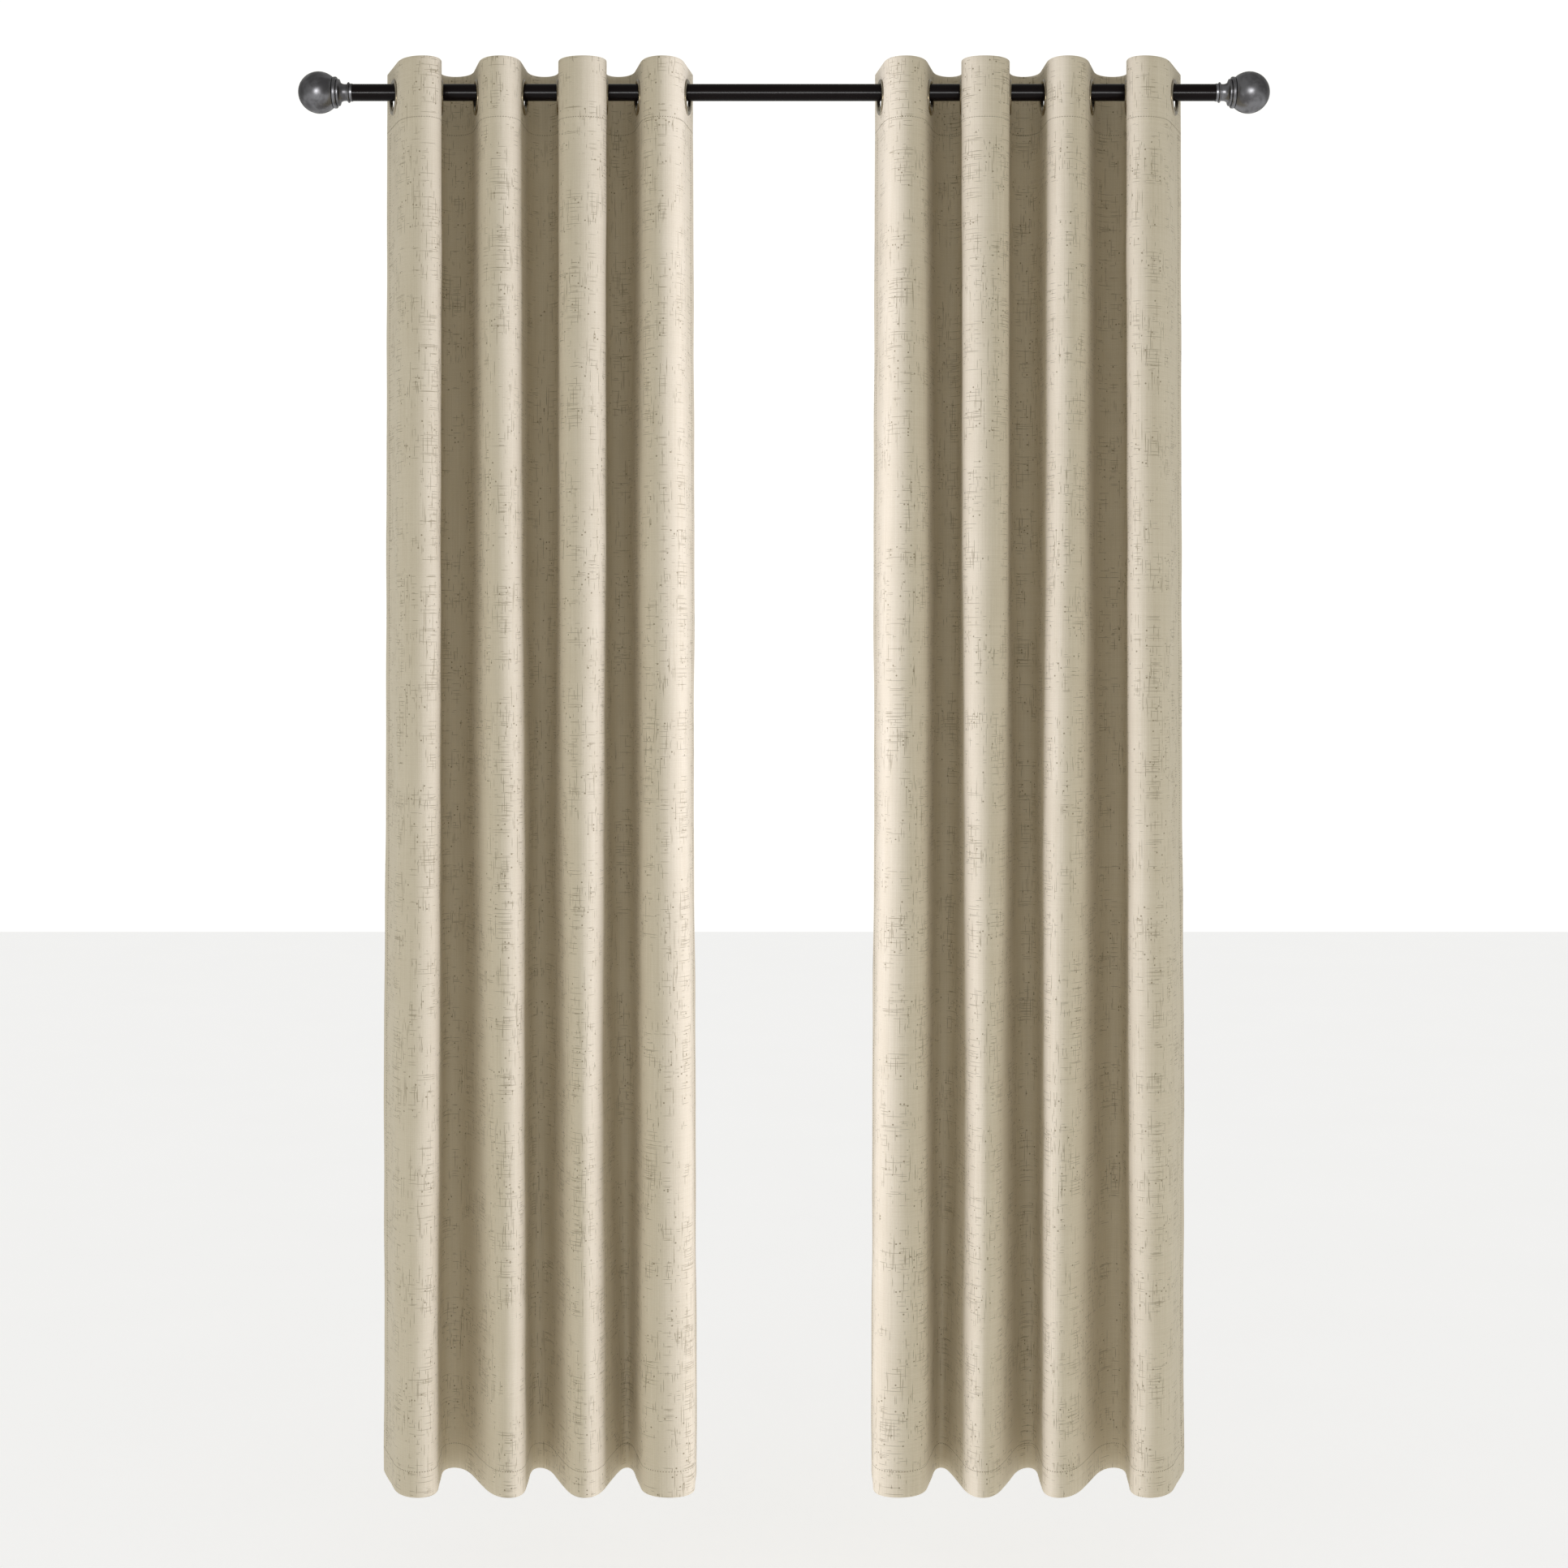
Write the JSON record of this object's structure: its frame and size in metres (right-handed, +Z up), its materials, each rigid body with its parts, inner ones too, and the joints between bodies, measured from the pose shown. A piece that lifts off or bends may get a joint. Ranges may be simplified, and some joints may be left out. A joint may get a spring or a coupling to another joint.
{
  "type": "window curtains on a rod",
  "caption": "Grommet-top linen-look curtain panels hanging in soft vertical folds from a round black metal rod with dark ball finials.",
  "frame": {"origin": "on the rod's axis at its mid-length, where the wall brackets' cradles hold it", "axes": "+X along the rod to the viewer's right, +Y away from the room towards the window, +Z up"},
  "size_m": [1.4646, 0.1322, 2.134],
  "materials": {
    "black_enamel": "satin black baked enamel on steel tube",
    "zinc_plate": "bright zinc plated steel",
    "gunmetal": "antiqued dark gunmetal plating, softly mottled",
    "brushed_nickel": "brushed nickel plating on pressed rings",
    "linen_cloth": "slubby linen-look weave in warm beige"
  },
  "bodies": {
    "rod": {"rod_tube": "black_enamel", "left_end_plug": "zinc_plate", "right_end_plug": "zinc_plate"},
    "left_finial": {"left_finial_ball": "gunmetal", "left_finial_collar": "gunmetal", "left_finial_stud": "zinc_plate"},
    "left_panel": {"left_curtain": "linen_cloth", "left_grommet_1_front": "brushed_nickel", "left_grommet_1_back": "brushed_nickel"},
    "left_grommet_2": {"left_grommet_2_front": "brushed_nickel", "left_grommet_2_back": "brushed_nickel"},
    "left_grommet_3": {"left_grommet_3_front": "brushed_nickel", "left_grommet_3_back": "brushed_nickel"},
    "left_grommet_4": {"left_grommet_4_front": "brushed_nickel", "left_grommet_4_back": "brushed_nickel"},
    "left_grommet_5": {"left_grommet_5_front": "brushed_nickel", "left_grommet_5_back": "brushed_nickel"},
    "left_grommet_6": {"left_grommet_6_front": "brushed_nickel", "left_grommet_6_back": "brushed_nickel"},
    "left_grommet_7": {"left_grommet_7_front": "brushed_nickel", "left_grommet_7_back": "brushed_nickel"},
    "left_leading_grommet": {"left_grommet_8_front": "brushed_nickel", "left_grommet_8_back": "brushed_nickel"},
    "right_finial": {"right_finial_ball": "gunmetal", "right_finial_collar": "gunmetal", "right_finial_stud": "zinc_plate"},
    "right_panel": {"right_curtain": "linen_cloth", "right_grommet_1_front": "brushed_nickel", "right_grommet_1_back": "brushed_nickel"},
    "right_grommet_2": {"right_grommet_2_front": "brushed_nickel", "right_grommet_2_back": "brushed_nickel"},
    "right_grommet_3": {"right_grommet_3_front": "brushed_nickel", "right_grommet_3_back": "brushed_nickel"},
    "right_grommet_4": {"right_grommet_4_front": "brushed_nickel", "right_grommet_4_back": "brushed_nickel"},
    "right_grommet_5": {"right_grommet_5_front": "brushed_nickel", "right_grommet_5_back": "brushed_nickel"},
    "right_grommet_6": {"right_grommet_6_front": "brushed_nickel", "right_grommet_6_back": "brushed_nickel"},
    "right_grommet_7": {"right_grommet_7_front": "brushed_nickel", "right_grommet_7_back": "brushed_nickel"},
    "right_leading_grommet": {"right_grommet_8_front": "brushed_nickel", "right_grommet_8_back": "brushed_nickel"}
  },
  "joints": [
    {"name": "left_finial_screw", "type": "hinge", "parent": "rod", "child": "left_finial", "pos_m": [-0.65, 0, 0], "axis": [-1, 0, 0], "continuous": true},
    {"name": "left_panel_slide", "type": "slide", "parent": "rod", "child": "left_panel", "axis": [1, 0, 0], "range_m": [-0.012, 0.03]},
    {"name": "left_draw", "type": "slide", "parent": "left_panel", "child": "left_leading_grommet", "axis": [1, 0, 0], "range_m": [-0.1, 0.09], "deforming": ["left_curtain"]},
    {"name": "left_grommet_2_slide", "type": "slide", "parent": "left_panel", "child": "left_grommet_2", "axis": [1, 0, 0], "range_m": [-0.0078, 0.0071]},
    {"name": "left_grommet_3_slide", "type": "slide", "parent": "left_panel", "child": "left_grommet_3", "axis": [1, 0, 0], "range_m": [-0.0204, 0.0184]},
    {"name": "left_grommet_4_slide", "type": "slide", "parent": "left_panel", "child": "left_grommet_4", "axis": [1, 0, 0], "range_m": [-0.0425, 0.0383]},
    {"name": "left_grommet_5_slide", "type": "slide", "parent": "left_panel", "child": "left_grommet_5", "axis": [1, 0, 0], "range_m": [-0.0603, 0.0543]},
    {"name": "left_grommet_6_slide", "type": "slide", "parent": "left_panel", "child": "left_grommet_6", "axis": [1, 0, 0], "range_m": [-0.0822, 0.0741]},
    {"name": "left_grommet_7_slide", "type": "slide", "parent": "left_panel", "child": "left_grommet_7", "axis": [1, 0, 0], "range_m": [-0.0936, 0.0843]},
    {"name": "right_finial_screw", "type": "hinge", "parent": "rod", "child": "right_finial", "pos_m": [0.65, 0, 0], "axis": [1, 0, 0], "continuous": true},
    {"name": "right_panel_slide", "type": "slide", "parent": "rod", "child": "right_panel", "axis": [-1, 0, 0], "range_m": [-0.012, 0.03]},
    {"name": "right_draw", "type": "slide", "parent": "right_panel", "child": "right_leading_grommet", "axis": [-1, 0, 0], "range_m": [-0.1, 0.09], "deforming": ["right_curtain"]},
    {"name": "right_grommet_2_slide", "type": "slide", "parent": "right_panel", "child": "right_grommet_2", "axis": [-1, 0, 0], "range_m": [-0.0078, 0.0071]},
    {"name": "right_grommet_3_slide", "type": "slide", "parent": "right_panel", "child": "right_grommet_3", "axis": [-1, 0, 0], "range_m": [-0.0204, 0.0184]},
    {"name": "right_grommet_4_slide", "type": "slide", "parent": "right_panel", "child": "right_grommet_4", "axis": [-1, 0, 0], "range_m": [-0.0425, 0.0383]},
    {"name": "right_grommet_5_slide", "type": "slide", "parent": "right_panel", "child": "right_grommet_5", "axis": [-1, 0, 0], "range_m": [-0.0603, 0.0543]},
    {"name": "right_grommet_6_slide", "type": "slide", "parent": "right_panel", "child": "right_grommet_6", "axis": [-1, 0, 0], "range_m": [-0.0822, 0.0741]},
    {"name": "right_grommet_7_slide", "type": "slide", "parent": "right_panel", "child": "right_grommet_7", "axis": [-1, 0, 0], "range_m": [-0.0936, 0.0843]}
  ],
  "couplings": [
    {"joint": "left_grommet_2_slide", "follows": "left_draw", "ratio": 0.06793},
    {"joint": "left_grommet_3_slide", "follows": "left_draw", "ratio": 0.19383},
    {"joint": "left_grommet_4_slide", "follows": "left_draw", "ratio": 0.41496},
    {"joint": "left_grommet_5_slide", "follows": "left_draw", "ratio": 0.59274},
    {"joint": "left_grommet_6_slide", "follows": "left_draw", "ratio": 0.81192},
    {"joint": "left_grommet_7_slide", "follows": "left_draw", "ratio": 0.92577},
    {"joint": "right_grommet_2_slide", "follows": "right_draw", "ratio": 0.06793},
    {"joint": "right_grommet_3_slide", "follows": "right_draw", "ratio": 0.19383},
    {"joint": "right_grommet_4_slide", "follows": "right_draw", "ratio": 0.41496},
    {"joint": "right_grommet_5_slide", "follows": "right_draw", "ratio": 0.59274},
    {"joint": "right_grommet_6_slide", "follows": "right_draw", "ratio": 0.81192},
    {"joint": "right_grommet_7_slide", "follows": "right_draw", "ratio": 0.92577}
  ]
}
